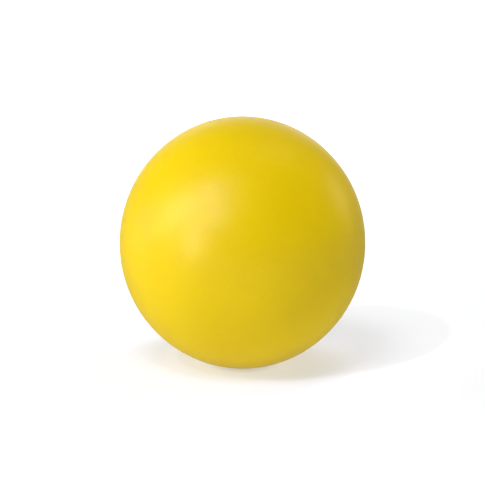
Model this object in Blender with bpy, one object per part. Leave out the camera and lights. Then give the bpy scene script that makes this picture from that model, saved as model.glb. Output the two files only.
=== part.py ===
"""A moulded foam stress ball, in metres, +Z up.

The ball is one moulding of flexible polyurethane foam, poured through a gate at the bottom of a
two-part mould. A dense skin forms against each half of the mould, the cells in between stay soft,
and the gate is trimmed flat and sealed, which leaves the small face that the ball rests on.

Every piece is a solid of revolution about the Z axis, which is also the mould's axis. The origin is
the centre of the trimmed face, so the ball stands on the plane Z = 0.
"""

import math

import bmesh
import bpy

MM = 0.001

# Driving dimensions
WIDTH = 63.0 * MM  # across the parting line
ELONGATION = 1.028  # pole to pole, as a share of the width: the foam swells along the mould's axis
SKIN = 1.5 * MM  # the dense skin, with its coat of colour
TRIM_RADIUS = 4.5 * MM  # the face left by trimming the gate
GATE_RADIUS = 3.3 * MM  # the hole that the foam was poured through
SEAL = 0.6 * MM  # the dab of coating over the trimmed gate
GAP = 0.3 * MM  # between pieces that touch on the real ball

# Fineness of the solids
SEGMENTS = 48  # round the axis
STEPS = 12  # along each arc from a pole to the parting line

# Worked out from the above
HALF_WIDTH = WIDTH / 2
HALF_HEIGHT = HALF_WIDTH * ELONGATION
CENTRE = HALF_HEIGHT * math.sqrt(1 - (TRIM_RADIUS / HALF_WIDTH) ** 2)  # height of the parting plane
NECK_RADIUS = GATE_RADIUS - GAP
POLE = math.pi / 2


def clear_scene():
    for obj in list(bpy.data.objects):
        bpy.data.objects.remove(obj)


def make_material(name, colour, roughness):
    material = bpy.data.materials.new(name)
    material.use_nodes = True
    shader = material.node_tree.nodes["Principled BSDF"]
    shader.inputs["Base Color"].default_value = (*colour, 1.0)
    shader.inputs["Roughness"].default_value = roughness
    shader.inputs["Metallic"].default_value = 0.0
    return material


class Shell:
    """One of the nested surfaces of the ball: the outer one, shrunk by a depth below it."""

    def __init__(self, depth):
        self.half_width = HALF_WIDTH - depth
        self.half_height = HALF_HEIGHT - depth

    def angle_at_radius(self, radius):
        """The latitude below the parting plane where the surface is this far from the axis."""
        return -math.acos(radius / self.half_width)

    def angle_at_height(self, height):
        return math.asin((height - CENTRE) / self.half_height)

    def arc(self, start, end):
        """Points (radius, height) from one latitude to another. A pole lies exactly on the axis."""
        points = []
        for step in range(STEPS + 1):
            angle = start + (end - start) * step / STEPS
            radius = 0.0 if abs(abs(angle) - POLE) < 1e-9 else self.half_width * math.cos(angle)
            points.append((radius, CENTRE + self.half_height * math.sin(angle)))
        return points


def turned(name, profile, material, closed=False):
    """A solid of revolution: the profile, as (radius, height) points, spun about Z."""
    form = bmesh.new()
    points = [form.verts.new((radius, 0.0, height)) for radius, height in profile]
    for first, second in zip(points, points[1:]):
        form.edges.new((first, second))
    if closed:
        form.edges.new((points[-1], points[0]))
    bmesh.ops.spin(
        form,
        geom=form.verts[:] + form.edges[:],
        cent=(0, 0, 0),
        axis=(0, 0, 1),
        angle=2 * math.pi,
        steps=SEGMENTS,
        use_merge=True,
    )
    bmesh.ops.remove_doubles(form, verts=form.verts, dist=0.001 * MM)
    bmesh.ops.recalc_face_normals(form, faces=form.faces)
    mesh = bpy.data.meshes.new(name)
    form.to_mesh(mesh)
    form.free()
    mesh.materials.append(material)
    mesh.shade_smooth()
    mesh.set_sharp_from_angle(angle=math.radians(35))
    obj = bpy.data.objects.new(name, mesh)
    bpy.context.scene.collection.objects.link(obj)
    return obj


def make_upper_skin(material):
    """The half of the skin formed against the upper mould: a closed cap, open at the parting plane."""
    outer, inner = Shell(0), Shell(SKIN)
    rim = CENTRE + GAP / 2
    turned(
        "upper_skin",
        outer.arc(POLE, outer.angle_at_height(rim)) + inner.arc(inner.angle_at_height(rim), POLE),
        material,
    )


def make_lower_skin(material):
    """The lower half of the skin, with the trimmed face at its foot and the gate through it."""
    outer, inner = Shell(0), Shell(SKIN)
    rim = CENTRE - GAP / 2
    turned(
        "lower_skin",
        outer.arc(outer.angle_at_height(rim), outer.angle_at_radius(TRIM_RADIUS))
        + [(GATE_RADIUS, 0.0)]
        + inner.arc(inner.angle_at_radius(GATE_RADIUS), inner.angle_at_height(rim)),
        material,
        closed=True,
    )


def make_foam_core(material):
    """The soft cellular foam that fills the skin, with the stub of foam that stands in the gate."""
    core = Shell(SKIN + GAP)
    stub_end = SEAL + GAP
    turned(
        "foam_core",
        core.arc(POLE, 0.0)
        + core.arc(0.0, core.angle_at_radius(NECK_RADIUS))[1:]
        + [(NECK_RADIUS, stub_end), (0.0, stub_end)],
        material,
    )


def make_gate_seal(material):
    """The dab of coating that closes the trimmed gate, flush with the face round it."""
    turned(
        "gate_seal",
        [(0.0, SEAL), (NECK_RADIUS, SEAL), (NECK_RADIUS, 0.0), (0.0, 0.0)],
        material,
    )


def main():
    clear_scene()
    coated_skin = make_material("coated_skin", (0.90, 0.66, 0.012), 0.45)
    foam = make_material("foam", (0.93, 0.82, 0.42), 0.9)
    sealer = make_material("sealer", (0.86, 0.62, 0.015), 0.6)
    make_upper_skin(coated_skin)
    make_lower_skin(coated_skin)
    make_foam_core(foam)
    make_gate_seal(sealer)


main()
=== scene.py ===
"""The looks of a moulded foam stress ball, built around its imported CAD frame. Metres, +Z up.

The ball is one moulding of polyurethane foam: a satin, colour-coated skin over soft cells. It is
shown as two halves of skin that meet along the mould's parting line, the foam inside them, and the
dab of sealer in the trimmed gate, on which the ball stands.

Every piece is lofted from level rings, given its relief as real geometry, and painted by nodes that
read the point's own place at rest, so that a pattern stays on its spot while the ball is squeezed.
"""

import math

import bmesh
import bpy
import numpy as np
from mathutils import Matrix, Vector, noise


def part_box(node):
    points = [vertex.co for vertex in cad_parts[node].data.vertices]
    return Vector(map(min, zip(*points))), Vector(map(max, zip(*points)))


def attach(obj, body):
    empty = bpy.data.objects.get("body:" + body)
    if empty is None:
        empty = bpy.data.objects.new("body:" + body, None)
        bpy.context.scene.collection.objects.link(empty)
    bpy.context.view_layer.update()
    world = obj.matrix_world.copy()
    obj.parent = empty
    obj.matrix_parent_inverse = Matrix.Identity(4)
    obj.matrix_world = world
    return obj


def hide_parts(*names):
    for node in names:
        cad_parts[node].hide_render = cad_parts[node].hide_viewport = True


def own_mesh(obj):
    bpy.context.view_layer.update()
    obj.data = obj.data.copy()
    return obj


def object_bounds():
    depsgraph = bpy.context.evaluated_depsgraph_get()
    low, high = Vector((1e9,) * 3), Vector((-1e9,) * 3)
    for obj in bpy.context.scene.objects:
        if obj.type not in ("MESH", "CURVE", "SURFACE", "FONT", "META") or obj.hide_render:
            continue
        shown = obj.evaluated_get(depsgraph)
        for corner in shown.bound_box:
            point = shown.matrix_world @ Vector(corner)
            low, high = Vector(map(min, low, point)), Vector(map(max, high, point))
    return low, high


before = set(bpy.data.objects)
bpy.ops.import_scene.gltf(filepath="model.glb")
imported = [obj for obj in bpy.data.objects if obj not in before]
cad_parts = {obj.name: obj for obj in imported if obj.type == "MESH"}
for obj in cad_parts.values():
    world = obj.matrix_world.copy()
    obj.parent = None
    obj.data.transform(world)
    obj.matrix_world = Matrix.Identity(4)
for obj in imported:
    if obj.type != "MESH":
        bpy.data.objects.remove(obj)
cad_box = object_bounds()

MM = 0.001
DEGREE = math.pi / 180

# ---------------------------------------------------------------- sizes, from the CAD frame

low, high = cad_box
HEIGHT = high.z
HALF_WIDTH = (high.x - low.x) / 2
PARTING = (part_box("upper_skin")[0].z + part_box("lower_skin")[1].z) / 2
HALF_HEIGHT = HEIGHT - PARTING
TRIM_RADIUS = HALF_WIDTH * math.sqrt(1 - (PARTING / HALF_HEIGHT) ** 2)
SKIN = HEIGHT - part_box("foam_core")[1].z
SEAL_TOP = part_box("gate_seal")[1].z
STUB_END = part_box("foam_core")[0].z
GATE_GAP = 0.3 * MM  # between the sealer and the gate's wall in the CAD frame
GATE_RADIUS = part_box("gate_seal")[1].x + GATE_GAP
CENTRE = np.array((0.0, 0.0, PARTING))

# ---------------------------------------------------------------- relief of the moulded skin

SWELL = (11 * MM, 0.030 * MM, 3.0)  # size, depth and seed of the foam's slow unevenness under the skin
PEEL = (1.15 * MM, 0.0045 * MM, 7.0)  # the same of the coat's orange peel
GRAIN = (0.5 * MM, 0.0012 * MM, 17.0)  # the same of the mould's own grain
CUT = (0.9 * MM, 0.05 * MM, 23.0)  # the same of the roughness left by trimming the gate
FLAT_EDGE = (0.02 * MM, 0.52 * MM)  # heights between which the skin's relief begins, above the flat

WITNESS = (0.16 * MM, 0.009 * MM)  # half width and depth of the ground-off parting line
WITNESS_START = 95 * DEGREE  # how far round from the front the parting line begins to show
WITNESS_WEAR = (4 * MM, 0.35, 31.0)  # size, share of the line's depth, and seed of its uneven wear
HAIRLINE = 0.001 * MM  # from the parting plane to each half of the skin, so that they never cut in

# Pinholes where a bubble broke the skin, as azimuth and elevation in degrees, and size as a share of the
# radius below. Azimuth 0 is the front.
PINHOLES = [(20, 58, 0.6), (-5, 29, 0.45), (-32, -50, 1.3), (45.5, -26, 0.6), (10.5, -17.5, 0.5)]
PINHOLE_RADIUS = 0.20 * MM
PINHOLE_DEPTH = 0.10 * MM
PINHOLE_WALL = 1.1  # where a pinhole's wall ends, as a share of its radius
PINHOLE_LIP = (1.5, 0.35, 0.05)  # place and width of its faint lip, in its radii, and its height
PINHOLE_REACH = 1.3 * MM  # how far round a pinhole the mesh is drawn together
PINHOLE_PULL = 0.8  # a distance from it, as a share of that, is raised to this power

# The small ones, scattered over the whole ball
SMALL_PINHOLES = 34
SMALL_SIZES = (0.35, 0.75)  # the smallest and the largest, as shares of the radius above
SMALL_BAND = (0.08, 0.96)  # sine of the least and the greatest angle from the parting plane
SMALL_SEED = 11
PINHOLE_CLEAR = 2.2 * MM  # the least distance from one to another


# ---------------------------------------------------------------- lofting

def joined(first, second):
    """The faces between two level rings of vertices. A ring's count is 1 at a pole. Otherwise the
    two counts are equal, or differ by 6, as in a triangular grid, or one is three times the other."""
    if len(first) > len(second):
        first, second = second, first
    a, b = len(first), len(second)
    faces = []
    if a == 1:
        for j in range(b):
            faces.append((first[0], second[j], second[(j + 1) % b]))
    elif a == b:
        for j in range(b):
            faces.append((first[j], first[(j + 1) % a], second[(j + 1) % b], second[j]))
    elif b == a + 6:
        inner, outer = a // 6, b // 6
        for sector in range(6):
            for step in range(outer):
                near = first[(sector * inner + step) % a]
                far = second[sector * outer + step]
                far_next = second[(sector * outer + step + 1) % b]
                faces.append((near, far, far_next))
                if step < inner:
                    faces.append((near, far_next, first[(sector * inner + step + 1) % a]))
    elif b == 3 * a:
        for j in range(a):
            near, near_next = first[j], first[(j + 1) % a]
            far = [second[(3 * j + step) % b] for step in range(4)]
            faces.append((near, far[0], far[1]))
            faces.append((near, far[1], near_next))
            faces.append((near_next, far[1], far[2]))
            faces.append((near_next, far[2], far[3]))
    else:
        raise ValueError(f"rings of {a} and {b} points don't join")
    return faces


def loft(rings, closed=False):
    """Points and faces of a surface through level rings, each (count, radius, height)."""
    points, faces, loops = [], [], []
    for count, radius, height in rings:
        loops.append(range(len(points), len(points) + count))
        for j in range(count):
            turn = 2 * math.pi * j / count
            points.append((radius * math.cos(turn), radius * math.sin(turn), height))
    for first, second in zip(loops, loops[1:]):
        faces += joined(first, second)
    if closed:
        faces += joined(loops[-1], loops[0])
    return np.array(points), faces


def cap_rings(depth, start, steps, last, sign):
    """Rings over one half of the ball, this deep below its surface: from the latitude start, where
    the ring has 6 * last points, to the parting plane, where it has 6 * steps. Sign is 1 for the
    upper half and -1 for the lower one, and last is 0 at a pole."""
    rings = []
    for k in range(last, steps + 1):
        latitude = start * (steps - k) / (steps - last)
        radius = 0.0 if k == 0 else (HALF_WIDTH - depth) * math.cos(latitude)
        rise = max(HAIRLINE, (HALF_HEIGHT - depth) * math.sin(latitude))
        rings.append((max(1, 6 * k), radius, PARTING + sign * rise))
    return rings


# ---------------------------------------------------------------- relief

def smooth_step(values):
    t = np.clip(values, 0.0, 1.0)
    return t * t * (3 - 2 * t)


def noise_at(points, size, seed):
    """Smooth noise from -1 to 1 with features of this size, at each point."""
    return np.array([noise.noise(p) for p in (points / size + seed).tolist()])


def outward(points):
    """The outer surface's normals at points on it."""
    normals = (points - CENTRE) / np.array((HALF_WIDTH, HALF_WIDTH, HALF_HEIGHT)) ** 2
    return normals / np.linalg.norm(normals, axis=1)[:, None]


def on_surface(points):
    """Points moved out from the ball's centre, or in towards it, onto the outer surface."""
    arms = points - CENTRE
    scale = np.linalg.norm(arms / np.array((HALF_WIDTH, HALF_WIDTH, HALF_HEIGHT)), axis=1)
    return CENTRE + arms / scale[:, None]


def direction(azimuth, elevation):
    """The unit vector towards this azimuth and elevation in radians. Azimuth 0 is the front, -Y."""
    level = math.cos(elevation)
    return np.array((math.sin(azimuth) * level, -math.cos(azimuth) * level, math.sin(elevation)))


def pinholes():
    """Each pinhole's place on the surface and its radius: the named ones, then the scattered ones."""
    places = [direction(azimuth * DEGREE, elevation * DEGREE) for azimuth, elevation, _ in PINHOLES]
    radii = [PINHOLE_RADIUS * share for _, _, share in PINHOLES]
    random = np.random.RandomState(SMALL_SEED)
    while len(places) < len(PINHOLES) + SMALL_PINHOLES:
        place = random.normal(size=3)
        place /= np.linalg.norm(place)
        radius = PINHOLE_RADIUS * random.uniform(*SMALL_SIZES)
        clear_of_edges = SMALL_BAND[0] < abs(place[2]) < SMALL_BAND[1]
        apart = min(np.linalg.norm(place - other) for other in places) * HALF_WIDTH
        if clear_of_edges and apart > PINHOLE_CLEAR:
            places.append(place)
            radii.append(radius)
    surface = on_surface(CENTRE + np.array(places) * HALF_WIDTH)
    return list(zip(surface, radii))


def draw_together(points, outer):
    """Moves the outer surface's points towards each pinhole near them, so that its rim and its floor
    have points to show them."""
    for place, _ in pinholes():
        arms = points - place
        distance = np.linalg.norm(arms, axis=1)
        near = outer & (distance < PINHOLE_REACH) & (distance > 0)
        closer = (distance[near] / PINHOLE_REACH) ** PINHOLE_PULL
        points[near] = on_surface(place + arms[near] * closer[:, None])


def pinhole_depth(points):
    """How far in each point lies for the pinholes, as a share of the deepest one, and a faint lip."""
    lip_place, lip_width, lip_height = PINHOLE_LIP
    share = np.zeros(len(points))
    for place, radius in pinholes():
        distance = np.linalg.norm(points - place, axis=1) / radius
        share += (radius / PINHOLE_RADIUS) * (1 - smooth_step(distance / PINHOLE_WALL))
        share -= lip_height * np.exp(-((distance - lip_place) / lip_width) ** 2)
    return share


def witness_depth(points):
    """How far in each point lies for the parting line, which was ground away best at the front."""
    half_width, depth = WITNESS
    wear_size, wear, seed = WITNESS_WEAR
    round_from_front = np.abs(np.arctan2(points[:, 0], -points[:, 1]))
    shows = smooth_step((round_from_front - WITNESS_START) / (math.pi - WITNESS_START))
    worn = (1 - wear) + wear * noise_at(points, wear_size, seed)
    across = np.exp(-((points[:, 2] - PARTING) / half_width) ** 2)
    return depth * shows * worn * across


def skin_relief(points, outer):
    """Points of the outer surface moved along its normals by the relief of the moulded skin."""
    surface = points[outer]
    begin, full = FLAT_EDGE
    off_the_flat = smooth_step((surface[:, 2] - begin) / (full - begin))
    rise = np.zeros(len(surface))
    for size, depth, seed in (SWELL, PEEL, GRAIN):
        rise += depth * noise_at(surface, size, seed)
    rise -= PINHOLE_DEPTH * pinhole_depth(surface)
    rise -= witness_depth(surface)
    points[outer] = surface + outward(surface) * (rise * off_the_flat)[:, None]


# ---------------------------------------------------------------- making pieces

SHARP = 40 * DEGREE  # an edge that turns more than this is drawn sharp


def make_piece(name, points, faces, material, pore_shade=None):
    """A mesh object with smooth faces pointing out. It keeps each point's place at rest, and how far
    into a pore it lies, for the painted shade in its material."""
    mesh = bpy.data.meshes.new(name)
    mesh.from_pydata(points.tolist(), [], faces)
    form = bmesh.new()
    form.from_mesh(mesh)
    bmesh.ops.recalc_face_normals(form, faces=form.faces)
    form.to_mesh(mesh)
    form.free()
    rest = mesh.attributes.new("rest", "FLOAT_VECTOR", "POINT")
    rest.data.foreach_set("vector", points.astype(np.float32).ravel())
    pores = mesh.attributes.new("pore_shade", "FLOAT", "POINT")
    pores.data.foreach_set("value", np.zeros(len(points), np.float32) if pore_shade is None else pore_shade)
    mesh.materials.append(material)
    mesh.shade_smooth()
    mesh.set_sharp_from_angle(angle=SHARP)
    piece = bpy.data.objects.new(name, mesh)
    bpy.context.scene.collection.objects.link(piece)
    return piece


def fit_to_frame(piece, node, body):
    """Puts a piece in the place of a CAD node: hides the node, and hangs the piece on the node's
    body, so that it moves with it."""
    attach(piece, body)
    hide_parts(node)
    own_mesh(piece)


OUTER_STEPS = 150  # rings of the skin's outside, from a pole to the parting line
INNER_STEPS = OUTER_STEPS // 3
GATE_STEPS = 9  # the ring at the edge of the gate, counted from the pole
TRIM_STEPS = 14  # the ring at the edge of the trimmed face
GATE_ROUNDING = (0.06 * MM, 0.1 * MM)  # how far the gate's cut edge is rounded, inwards and upwards
EDGE_RING = 1.2  # how far the last ring is from the parting line, in half widths of its groove


def edge_ring(steps, sign):
    """One more ring beside the parting line, so that the line's groove has a side."""
    gap = WITNESS[0] * EDGE_RING
    return (6 * steps, HALF_WIDTH * math.sqrt(1 - (gap / HALF_HEIGHT) ** 2), PARTING + sign * gap)


def make_upper_skin(material):
    outside = cap_rings(0, math.pi / 2, OUTER_STEPS, 0, 1)
    inside = cap_rings(SKIN, math.pi / 2, INNER_STEPS, 0, 1)
    rings = outside[:-1] + [edge_ring(OUTER_STEPS, 1), outside[-1]] + inside[::-1]
    points, faces = loft(rings)
    outer = np.arange(len(points)) < sum(count for count, _, _ in rings[: len(outside) + 1])
    draw_together(points, outer)
    pore_shade = np.where(outer, pinhole_depth(points), 0).astype(np.float32)
    skin_relief(points, outer)
    piece = make_piece("upper_coated_skin", points, faces, material, pore_shade)
    fit_to_frame(piece, "upper_skin", "upper_half")
    return piece


def make_lower_skin(material):
    trim_latitude = math.asin(PARTING / HALF_HEIGHT)
    outside = cap_rings(0, trim_latitude, OUTER_STEPS, TRIM_STEPS, -1)
    flat = []
    for k in range(GATE_STEPS, TRIM_STEPS):
        share = (k - GATE_STEPS) / (TRIM_STEPS - GATE_STEPS)
        flat.append((6 * k, GATE_RADIUS + share * (TRIM_RADIUS - GATE_RADIUS), 0.0))
    inner_gate = math.acos(GATE_RADIUS / (HALF_WIDTH - SKIN))
    inside = cap_rings(SKIN, inner_gate, INNER_STEPS, GATE_STEPS // 3, -1)
    rounded = [(6 * GATE_STEPS, GATE_RADIUS - GATE_ROUNDING[0], GATE_ROUNDING[1])]
    rings = rounded + flat + outside[:-1] + [edge_ring(OUTER_STEPS, -1), outside[-1]] + inside[::-1]
    points, faces = loft(rings, closed=True)
    counts = [count for count, _, _ in rings]
    first = sum(counts[: len(rounded) + len(flat)])
    last = sum(counts[: len(rounded) + len(flat) + len(outside) + 1])
    index = np.arange(len(points))
    outer = (index >= first) & (index < last)
    draw_together(points, outer)
    pore_shade = np.where(outer, pinhole_depth(points), 0).astype(np.float32)
    skin_relief(points, outer)
    on_flat = (index < first) & (index >= counts[0])
    size, depth, seed = CUT
    points[on_flat, 2] += depth * (0.5 + 0.5 * noise_at(points[on_flat], size, seed))
    piece = make_piece("lower_coated_skin", points, faces, material, pore_shade)
    fit_to_frame(piece, "lower_skin", "lower_half")
    return piece


CORE_STEPS = 90
STUB_STEPS = 9
CELL = (1.9 * MM, 0.16 * MM)  # size and depth of the foam's cells where the skin was pulled away
CELL_STEEPNESS = 1.4
STUB_TAPER = 2 * MM  # how far above the stub's end the cells reach their full depth
SKIN_CLEARANCE = 0.04 * MM  # between the foam and the skin
STUB_CLEARANCE = 0.12 * MM  # between its stub and the gate's wall


def make_core(material):
    """The foam inside: a body with open cells all over, and its stub in the gate."""
    depth = SKIN + SKIN_CLEARANCE
    radius = GATE_RADIUS - STUB_CLEARANCE
    stub = [(max(1, 6 * k), radius * k / STUB_STEPS, STUB_END) for k in range(STUB_STEPS + 1)]
    gate = math.acos(radius / (HALF_WIDTH - depth))
    lower = cap_rings(depth, gate, CORE_STEPS, STUB_STEPS, -1)
    upper = cap_rings(depth, math.pi / 2, CORE_STEPS, 0, 1)
    points, faces = loft(stub + lower + upper[-2::-1])
    cells = np.array([noise.voronoi(p)[0][0] for p in (points / CELL[0]).tolist()])
    above_stub = smooth_step((points[:, 2] - STUB_END) / STUB_TAPER)
    arms = points - CENTRE
    arms /= np.linalg.norm(arms, axis=1)[:, None]
    openness = 1 - smooth_step(cells * CELL_STEEPNESS)
    points -= arms * (CELL[1] * openness * above_stub)[:, None]
    piece = make_piece("cellular_core", points, faces, material)
    fit_to_frame(piece, "foam_core", "lower_half")
    return piece


SEAL_STEPS = 16
SEAL_RECESS = 0.10 * MM  # how far the sealer's face sinks into the gate in its middle
SEAL_CLIMB = 0.8  # how much of that it makes up at its edge
SEAL_CLEARANCE = (0.07 * MM, 0.04 * MM)  # from the gate's wall, at the sealer's face and behind it
SEAL_SIDE = (0.35, 0.75)  # heights of the rings round its side, as shares of its thickness
SWIRL = (0.8 * MM, 0.05 * MM, 41.0)  # size, depth and seed of the brush's marks in its face
SWIRL_STRETCH = (1, 2.2, 1)  # how much closer the marks are in each direction
SEAL_LOWEST = 0.01 * MM  # no mark comes nearer than this to what the ball stands on


def make_seal(material):
    """The dab of sealer: it climbs the gate's wall at its edge and sinks in the middle."""
    face_clearance, side_clearance = SEAL_CLEARANCE
    radius = GATE_RADIUS - face_clearance
    face = []
    for k in range(SEAL_STEPS + 1):
        share = k / SEAL_STEPS
        sink = SEAL_RECESS * (1 - SEAL_CLIMB * share ** 4)
        face.append((max(1, 6 * k), radius * share, sink))
    back = [(count, ring_radius, SEAL_TOP) for count, ring_radius, _ in face]
    side = [(6 * SEAL_STEPS, GATE_RADIUS - side_clearance, SEAL_TOP * share) for share in SEAL_SIDE]
    points, faces = loft(face + side + back[::-1])
    shown = np.arange(len(points)) < sum(count for count, _, _ in face)
    size, mark_depth, seed = SWIRL
    points[shown, 2] += mark_depth * noise_at(points[shown] * SWIRL_STRETCH, size, seed)
    points[shown, 2] = np.maximum(points[shown, 2], SEAL_LOWEST)
    piece = make_piece("sealed_gate", points, faces, material)
    fit_to_frame(piece, "gate_seal", "lower_half")
    return piece


# ---------------------------------------------------------------- materials

def add_node(tree, kind, attributes=None, inputs=None):
    """A node with its attributes set, and its inputs set to values or linked from sockets."""
    node = tree.nodes.new(kind)
    for name, value in (attributes or {}).items():
        setattr(node, name, value)
    for name, value in (inputs or {}).items():
        if isinstance(value, bpy.types.NodeSocket):
            tree.links.new(value, node.inputs[name])
        else:
            node.inputs[name].default_value = value
    return node


def new_material(name, constants):
    """A material with a Principled shader, and the place at rest that its patterns are drawn on."""
    material = bpy.data.materials.new(name)
    material.use_nodes = True
    tree = material.node_tree
    shader = tree.nodes["Principled BSDF"]
    for socket, value in constants.items():
        shader.inputs[socket].default_value = value
    place = add_node(tree, "ShaderNodeAttribute", {"attribute_name": "rest"}).outputs["Vector"]
    return material, tree, shader, place


def noise_node(tree, place, size, detail=2.0, roughness=0.5):
    """Noise from 0 to 1 with features of this size in metres."""
    inputs = {"Vector": place, "Scale": 1 / size, "Detail": detail, "Roughness": roughness}
    return add_node(tree, "ShaderNodeTexNoise", None, inputs).outputs["Fac"]


def ranged(tree, value, low_out, high_out, low_in=0.3, high_in=0.7):
    """Value carried from one range to another."""
    inputs = {"Value": value, "From Min": low_in, "From Max": high_in}
    inputs.update({"To Min": low_out, "To Max": high_out})
    return add_node(tree, "ShaderNodeMapRange", {"clamp": True}, inputs).outputs["Result"]


def colour_mix(tree, share, first, second):
    inputs = {0: share, 6: first, 7: second}
    return add_node(tree, "ShaderNodeMix", {"data_type": "RGBA"}, inputs).outputs[2]


def bump(tree, height, distance, strength=1.0, below=None):
    """Normals for a height from 0 to 1 that stands this far proud, over another bump if given."""
    inputs = {"Height": height, "Distance": distance, "Strength": strength}
    if below is not None:
        inputs["Normal"] = below
    return add_node(tree, "ShaderNodeBump", None, inputs).outputs["Normal"]


YELLOW = (0.800, 0.569, 0.0027, 1.0)
DEEP_YELLOW = (0.775, 0.536, 0.0023, 1.0)
PALE_YELLOW = (0.815, 0.591, 0.0045, 1.0)
# painted shade: the colour that the pinholes darken to towards their floors
PAINTED_PORE_SHADE = (0.560, 0.370, 0.0020, 1.0)


def coated_skin_material():
    """Satin polyurethane coat: slow drifts of tone, fine pigment grain, pores darkened with painted
    shade, and a gloss that varies with the thickness of the coat."""
    constants = {"Specular IOR Level": 0.13}
    material, tree, shader, place = new_material("satin_coated_skin", constants)
    drift = ranged(tree, noise_node(tree, place, 14 * MM, 3.0), 0.0, 1.0)
    tone = colour_mix(tree, drift, DEEP_YELLOW, YELLOW)
    grain = ranged(tree, noise_node(tree, place, 0.42 * MM, 2.0, 0.65), 0.0, 0.6, 0.42, 0.72)
    tone = colour_mix(tree, grain, tone, PALE_YELLOW)
    pore_shade = add_node(tree, "ShaderNodeAttribute", {"attribute_name": "pore_shade"}).outputs["Fac"]
    # Painted shade: the coat darkens with the depth into each pinhole
    tone = colour_mix(tree, ranged(tree, pore_shade, 0.0, 1.0, 0.15, 0.7), tone, PAINTED_PORE_SHADE)
    tree.links.new(tone, shader.inputs["Base Color"])
    sheen_drift = noise_node(tree, place, 5 * MM, 3.0)
    tree.links.new(ranged(tree, sheen_drift, 0.31, 0.37), shader.inputs["Roughness"])
    peel = bump(tree, noise_node(tree, place, 0.7 * MM, 1.0), 0.006 * MM)
    fine = bump(tree, noise_node(tree, place, 0.26 * MM, 2.0), 0.006 * MM, 1.0, peel)
    tree.links.new(fine, shader.inputs["Normal"])
    return material


FOAM = (0.930, 0.800, 0.360, 1.0)
# painted shade inside the foam's cells
PAINTED_CELL_SHADE = (0.780, 0.560, 0.120, 1.0)


def foam_material():
    """Flexible foam: pale cell walls round darker cells, in two sizes; the darkening is painted shade in
    the cells' hollows.
    """
    constants = {"Specular IOR Level": 0.2}
    material, tree, shader, place = new_material("open_cell_foam", constants)
    inputs = {"Vector": place, "Scale": 1 / (0.9 * MM)}
    cells = add_node(tree, "ShaderNodeTexVoronoi", {"feature": "F1"}, inputs).outputs["Distance"]
    inputs = {"Vector": place, "Scale": 1 / (0.35 * MM)}
    small = add_node(tree, "ShaderNodeTexVoronoi", {"feature": "F1"}, inputs).outputs["Distance"]
    # Painted shade: darker towards each cell's middle
    share = ranged(tree, cells, 0.9, 0.0, 0.1, 0.6)
    tone = colour_mix(tree, share, FOAM, PAINTED_CELL_SHADE)
    drift = ranged(tree, noise_node(tree, place, 8 * MM, 2.0), 0.0, 0.35)
    tone = colour_mix(tree, drift, tone, FOAM)
    tree.links.new(tone, shader.inputs["Base Color"])
    tree.links.new(ranged(tree, small, 0.95, 0.8, 0.1, 0.6), shader.inputs["Roughness"])
    walls = bump(tree, cells, 0.25 * MM)
    tree.links.new(bump(tree, small, 0.08 * MM, 0.8, walls), shader.inputs["Normal"])
    return material


SEALER = (0.850, 0.590, 0.0040, 1.0)
SEALER_THIN = (0.760, 0.520, 0.0350, 1.0)


def sealer_material():
    """Brushed-on sealer: streaks of gloss, and a thinner tone where the foam shows through."""
    constants = {"Specular IOR Level": 0.3}
    material, tree, shader, place = new_material("brushed_sealer", constants)
    inputs = {"Vector": place, "Scale": (1.0, 3.0, 1.0)}
    streaked = add_node(tree, "ShaderNodeMapping", None, inputs).outputs["Vector"]
    streaks = noise_node(tree, streaked, 1.2 * MM, 4.0, 0.6)
    tone = colour_mix(tree, ranged(tree, streaks, 0.0, 0.8), SEALER, SEALER_THIN)
    tree.links.new(tone, shader.inputs["Base Color"])
    tree.links.new(ranged(tree, streaks, 0.35, 0.6), shader.inputs["Roughness"])
    tree.links.new(bump(tree, streaks, 0.05 * MM), shader.inputs["Normal"])
    return material


# ---------------------------------------------------------------- studio and camera

CAMERA_ELEVATION = 12 * DEGREE
LENS, SENSOR = 150.0, 36.0  # millimetres
WIDTH_IN_FRAME = 0.5068  # the ball's width as a share of the frame's
CLIP = (0.01, 100)  # what the camera sees, from the nearest to the farthest


def make_camera():
    data = bpy.data.cameras.new("camera")
    data.lens = LENS
    data.sensor_width = SENSOR
    camera = bpy.data.objects.new("camera", data)
    bpy.context.scene.collection.objects.link(camera)
    bpy.context.scene.camera = camera
    half_angle_tangent = WIDTH_IN_FRAME * SENSOR / 2 / LENS
    distance = HALF_WIDTH * math.sqrt(1 + 1 / half_angle_tangent ** 2)
    back = Vector(direction(0, CAMERA_ELEVATION))
    camera.location = Vector(CENTRE) + back * distance
    camera.rotation_euler = (-back).to_track_quat("-Z", "Y").to_euler()
    data.clip_start, data.clip_end = CLIP


FLOOR_RADIUS = 6.0  # far past the frame's edges
FLOOR_SEGMENTS = 96
FLOOR_ROUGHNESS = 0.9
FLOOR_COLOUR = (0.61, 0.615, 0.635, 1.0)
FLOOR_BY_BALL = (0.53, 0.55, 0.70, 1.0)  # cooler, which evens out the warm light off the ball
BY_BALL = (25 * MM, 60 * MM)  # how far from the contact that one begins and ends giving way to the first

GLOW = 0.468  # how brightly the table glows, as painted light from below
GLOW_COLOUR = (0.975, 0.985, 1.0, 1.0)
CONTACT_SHADOW_GLOW = 0.6  # the glow where the ball stands, as a share of GLOW: a painted contact shadow
CONTACT_SHADOW_REACH = (4 * MM, 10 * MM)  # how far from the contact the glow begins to rise out of that painted contact shadow, and is full
GLOW_FAR = 2.15  # the glow far away, as a share of the same
SHADED_SIDE = (30 * MM, 15 * MM, 0)  # the middle of the part of the table that glows least: a painted shadow where the ball's shadow falls
FAR_AWAY = (0.05, 0.35)  # how far from that middle the glow begins and ends growing


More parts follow.
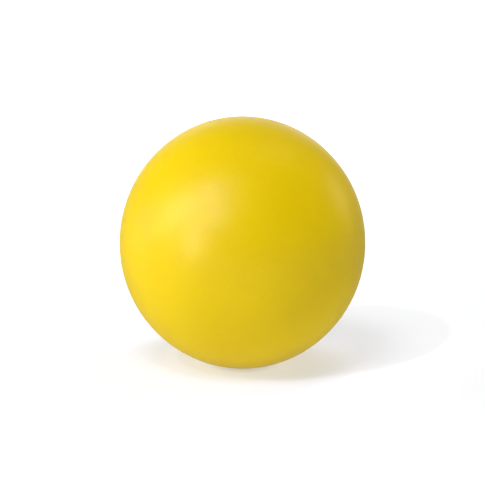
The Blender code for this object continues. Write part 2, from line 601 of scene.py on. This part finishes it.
def floor_material():
    """A white table top that glows as painted light: dimmer where the ball stands and round its shaded
    side, as painted shadow, and brighter far away. Its tone also changes with distance.
    """
    material = bpy.data.materials.new("white_table")
    material.use_nodes = True
    tree = material.node_tree
    shader = tree.nodes["Principled BSDF"]
    shader.inputs["Roughness"].default_value = FLOOR_ROUGHNESS
    shader.inputs["Specular IOR Level"].default_value = 0.0
    shader.inputs["Emission Color"].default_value = GLOW_COLOUR
    place = add_node(tree, "ShaderNodeTexCoord").outputs["Object"]
    away = add_node(tree, "ShaderNodeVectorMath", {"operation": "LENGTH"}, {0: place}).outputs["Value"]
    tone = colour_mix(tree, ranged(tree, away, 0.0, 1.0, *BY_BALL), FLOOR_BY_BALL, FLOOR_COLOUR)
    tree.links.new(tone, shader.inputs["Base Color"])
    # Painted light: the glow dips where the ball stands as a painted contact shadow, and grows away from
    # the shaded side, which is left as a painted shadow
    under = ranged(tree, away, CONTACT_SHADOW_GLOW, 1.0, *CONTACT_SHADOW_REACH)
    inputs = {0: place, 1: SHADED_SIDE}
    off = add_node(tree, "ShaderNodeVectorMath", {"operation": "DISTANCE"}, inputs).outputs["Value"]
    far = ranged(tree, off, 1.0, GLOW_FAR, *FAR_AWAY)
    profile = add_node(tree, "ShaderNodeMath", {"operation": "MULTIPLY"}, {0: under, 1: far})
    inputs = {0: profile.outputs[0], 1: GLOW}
    glow = add_node(tree, "ShaderNodeMath", {"operation": "MULTIPLY"}, inputs)
    tree.links.new(glow.outputs[0], shader.inputs["Emission Strength"])
    return material


def make_floor():
    """The table, which the coat's gloss doesn't see."""
    mesh = bpy.data.meshes.new("floor")
    form = bmesh.new()
    bmesh.ops.create_circle(form, cap_ends=True, segments=FLOOR_SEGMENTS, radius=FLOOR_RADIUS)
    form.to_mesh(mesh)
    form.free()
    mesh.materials.append(floor_material())
    mesh.shade_smooth()
    obj = bpy.data.objects.new("floor", mesh)
    bpy.context.scene.collection.objects.link(obj)
    obj.visible_glossy = False


LIGHT_DISTANCE = 0.8  # of every light from the ball's centre

# Softboxes: name, azimuth and elevation in degrees, side, and power in watts. The first ones shade the
# ball and the table, and the others are there to be seen in the coat's gloss.
FILLS = [
    ("fill_front", -20, 59, 0.24, 1.97),
    ("fill_left", -75, 25, 0.24, 0.74),
    ("fill_top", 125, 76, 0.24, 1.16),
    ("fill_low_left", -103, 8, 0.24, 1.90),
    ("fill_back_right", 125, 59, 0.24, 0.71),
    ("fill_camera_side", -20, 42, 0.24, 0.36),
    ("fill_low_right", 115, 10, 0.24, 0.66),
    ("fill_low_front", -55, 5, 0.24, 0.60),
]
REFLECTORS = [
    ("reflector_high", -45, 50, 0.22, 2.29),
    ("reflector_front", -30, 34, 0.22, 2.27),
    ("reflector_middle", -59, 34, 0.22, 1.71),
    ("reflector_low", -45, 18, 0.22, 1.69),
    ("reflector_left", -75, 34, 0.22, 1.10),
    ("reflector_low_left", -75, 18, 0.22, 1.64),
    ("reflector_table", -45, 4, 0.22, 1.49),
    ("reflector_right", 120, 18, 0.22, 0.32),
    ("reflector_back", 180, 10, 0.60, 0.80),
]

# A snooted lamp: a narrow beam whose edge is soft all the way in
SNOOT_FROM = (-40, 45)  # azimuth and elevation in degrees
SNOOT_AT = (-31, 28)  # the same of the place on the ball that it points at
SNOOT_BEAM = 18 * MM  # the beam's radius there, if the lamp were a point
SNOOT_LAMP = 50 * MM  # the lamp's own radius
SNOOT_POWER = 69.0

EXPOSURE = 0.17  # stops
STUDIO_GLOW = 0.24  # of the studio's pale walls in the coat's gloss


def add_light(data, azimuth, elevation, target):
    light = bpy.data.objects.new(data.name, data)
    bpy.context.scene.collection.objects.link(light)
    arm = direction(azimuth * DEGREE, elevation * DEGREE) * LIGHT_DISTANCE
    light.location = Vector(CENTRE + arm)
    light.rotation_euler = (Vector(target) - light.location).to_track_quat("-Z", "Y").to_euler()
    return light


def add_softbox(name, azimuth, elevation, side, power):
    data = bpy.data.lights.new(name, "AREA")
    data.shape = "SQUARE"
    data.size = side
    data.energy = power
    return add_light(data, azimuth, elevation, CENTRE)


def add_snoot():
    data = bpy.data.lights.new("snoot", "SPOT")
    data.spot_size = 2 * math.atan(SNOOT_BEAM / LIGHT_DISTANCE)
    data.spot_blend = 1.0
    data.shadow_soft_size = SNOOT_LAMP
    data.energy = SNOOT_POWER
    azimuth, elevation = SNOOT_AT
    aim = direction(azimuth * DEGREE, elevation * DEGREE) * HALF_WIDTH
    return add_light(data, *SNOOT_FROM, CENTRE + aim)


def make_lights():
    for softbox in FILLS:
        add_softbox(*softbox).visible_glossy = False
    for softbox in REFLECTORS:
        add_softbox(*softbox).visible_diffuse = False
    add_snoot().visible_glossy = False


def make_world():
    """The studio's own pale walls, seen past the table and in the coat's gloss."""
    world = bpy.data.worlds.new("studio")
    world.use_nodes = True
    bpy.context.scene.world = world
    world.node_tree.nodes["Background"].inputs["Color"].default_value = (1, 1, 1, 1)
    world.node_tree.nodes["Background"].inputs["Strength"].default_value = STUDIO_GLOW
    world.cycles_visibility.diffuse = False


def main():
    make_camera()
    make_floor()
    make_lights()
    make_world()
    bpy.context.scene.view_settings.view_transform = "Standard"
    bpy.context.scene.view_settings.exposure = EXPOSURE
    coat = coated_skin_material()
    make_upper_skin(coat)
    make_lower_skin(coat)
    make_core(foam_material())
    make_seal(sealer_material())


main()
